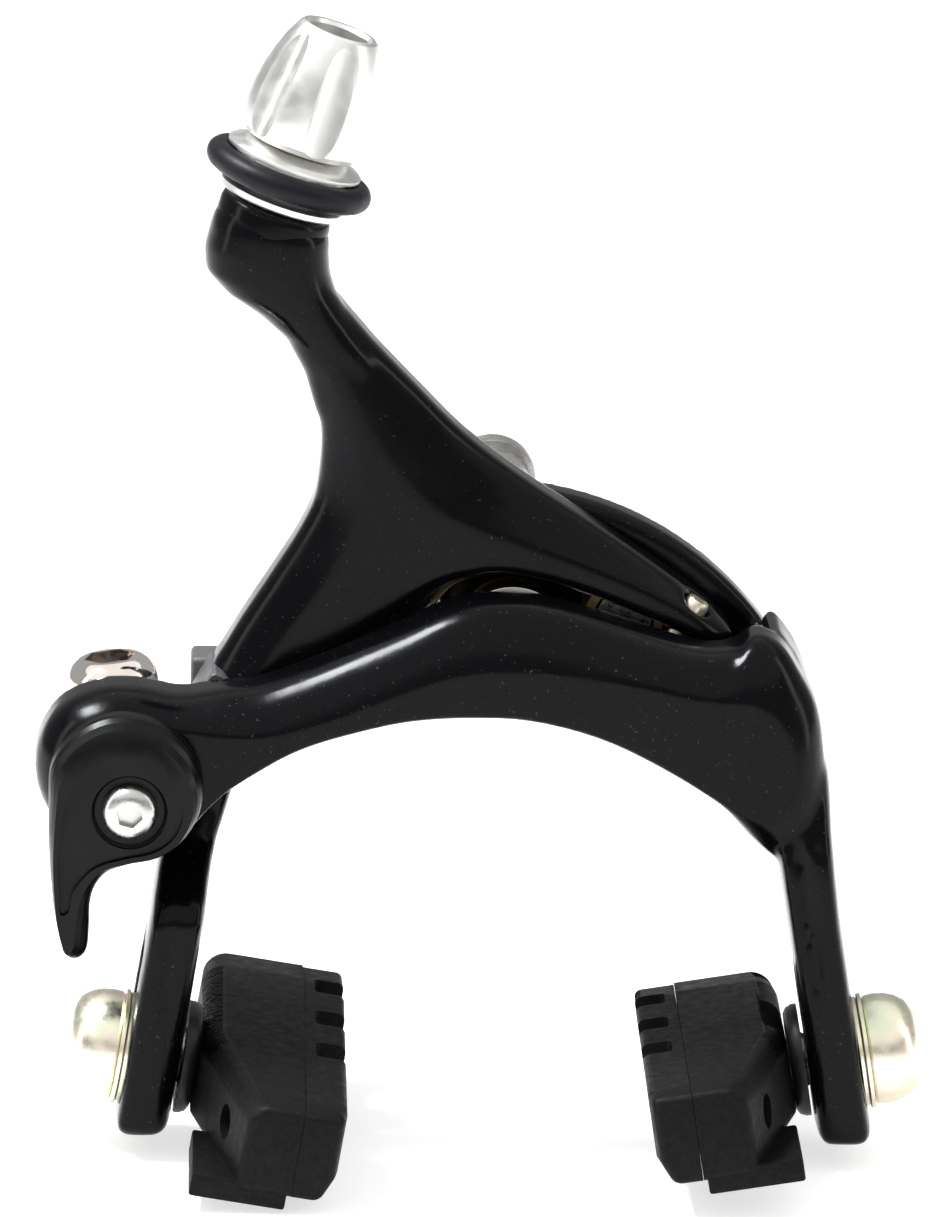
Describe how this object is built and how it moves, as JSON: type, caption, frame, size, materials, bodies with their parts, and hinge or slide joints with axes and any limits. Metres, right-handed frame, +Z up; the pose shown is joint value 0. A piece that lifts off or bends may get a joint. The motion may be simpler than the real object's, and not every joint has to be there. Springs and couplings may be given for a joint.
{
  "type": "rim brake caliper",
  "caption": "Dual-pivot bicycle rim brake caliper with crossed arms, slotted legs with brake pads, a quick release with cable anchor and a barrel adjuster.",
  "frame": {"origin": "on the centre bolt's axis, at the rear face of the serrated washer, where the caliper seats on the fork or frame", "axes": "+X to the right in the front view, +Y back along the centre bolt towards the fork or frame, +Z up"},
  "size_m": [0.0963, 0.1012, 0.1223],
  "materials": {
    "black_paint": "glossy black paint on forged aluminium",
    "black_plastic": "satin black moulded plastic",
    "polished_metal": "bright polished and plated metal",
    "warm_chrome": "bright plated steel with a warm tint",
    "yellow_zinc": "yellow zinc plate with a green and pink tint",
    "steel": "nickel-plated steel",
    "bronze": "sintered bronze",
    "rubber": "satin black rubber",
    "pad_rubber": "dusty matte black brake rubber"
  },
  "bodies": {
    "root": {"centre_bolt": "steel", "pivot_bracket": "steel", "serrated_washer": "steel", "fixing_nut": "steel", "side_pivot_pin": "steel", "return_spring": "steel", "spring_clip": "black_plastic", "hub_washer": "yellow_zinc", "hub_spacer": "bronze"},
    "front_arm": {"c_arm": "black_paint", "c_arm_spring_guide": "black_plastic"},
    "rear_arm": {"y_arm": "black_paint", "y_arm_bush": "bronze", "y_arm_spring_guide": "black_plastic", "centring_screw": "yellow_zinc"},
    "release": {"quick_release_lever": "black_paint", "quick_release_cam": "steel", "quick_release_screw": "polished_metal"},
    "anchor": {"anchor_block": "steel", "anchor_washer": "steel", "anchor_bolt": "warm_chrome", "anchor_clip": "steel"},
    "ring_nut": {"adjuster_ring_nut": "polished_metal", "adjuster_o_ring": "rubber"},
    "barrel": {"adjuster_barrel": "polished_metal"},
    "left_carrier": {"left_dome_nut": "yellow_zinc", "left_outer_washer": "yellow_zinc", "left_lock_washer": "yellow_zinc", "left_seat_washer": "steel"},
    "left_pad": {"left_pad_body": "pad_rubber", "left_friction_insert": "pad_rubber", "left_pad_stud": "steel"},
    "right_carrier": {"right_dome_nut": "yellow_zinc", "right_outer_washer": "yellow_zinc", "right_lock_washer": "yellow_zinc", "right_seat_washer": "steel"},
    "right_pad": {"right_pad_body": "pad_rubber", "right_friction_insert": "pad_rubber", "right_pad_stud": "steel"}
  },
  "joints": [
    {"name": "front_arm_pivot", "type": "hinge", "parent": "root", "child": "front_arm", "pos_m": [0, -0.018, 0], "axis": [0, 1, 0], "range_deg": [0, 9.5], "stiffness_Nm_per_rad": 1.5, "springref_deg": -28.65, "deforming": ["return_spring"]},
    {"name": "rear_arm_pivot", "type": "hinge", "parent": "root", "child": "rear_arm", "pos_m": [0.012, -0.0165, 0.0025], "axis": [0, 1, 0], "range_deg": [-8.8, 0], "stiffness_Nm_per_rad": 1.5, "springref_deg": 28.65, "deforming": ["return_spring"]},
    {"name": "quick_release_turn", "type": "hinge", "parent": "front_arm", "child": "release", "pos_m": [-0.0406, -0.026, -0.0156], "axis": [0, 1, 0], "range_deg": [0, 100]},
    {"name": "cable_anchor_swivel", "type": "hinge", "parent": "release", "child": "anchor", "pos_m": [-0.04142, -0.01565, -0.01785], "axis": [0, 1, 0], "range_deg": [-100.5, 0]},
    {"name": "ring_nut_turn", "type": "hinge", "parent": "rear_arm", "child": "ring_nut", "pos_m": [-0.0259, -0.0165, 0.0469], "axis": [0.309, 0, 0.9511], "range_deg": [0, 1800]},
    {"name": "barrel_travel", "type": "slide", "parent": "rear_arm", "child": "barrel", "axis": [0.309, 0, 0.9511], "range_m": [0, 0.00501]},
    {"name": "left_pad_height", "type": "slide", "parent": "rear_arm", "child": "left_carrier", "axis": [0.1495, 0, 0.9888], "range_m": [0, 0.01]},
    {"name": "left_pad_tilt", "type": "hinge", "parent": "left_carrier", "child": "left_pad", "pos_m": [-0.0376, -0.0236, -0.0453], "axis": [0.9888, 0, -0.1495], "range_deg": [-10, 10]},
    {"name": "right_pad_height", "type": "slide", "parent": "front_arm", "child": "right_carrier", "axis": [-0.1668, 0, 0.986], "range_m": [0, 0.01]},
    {"name": "right_pad_tilt", "type": "hinge", "parent": "right_carrier", "child": "right_pad", "pos_m": [0.0357, -0.0236, -0.0445], "axis": [0.986, 0, 0.1668], "range_deg": [-10, 10]}
  ],
  "couplings": [
    {"joint": "rear_arm_pivot", "follows": "front_arm_pivot", "ratio": -0.92},
    {"joint": "cable_anchor_swivel", "follows": "quick_release_turn", "ratio": -1},
    {"joint": "barrel_travel", "follows": "ring_nut_turn", "m_per_rad": 0.00015915}
  ]
}
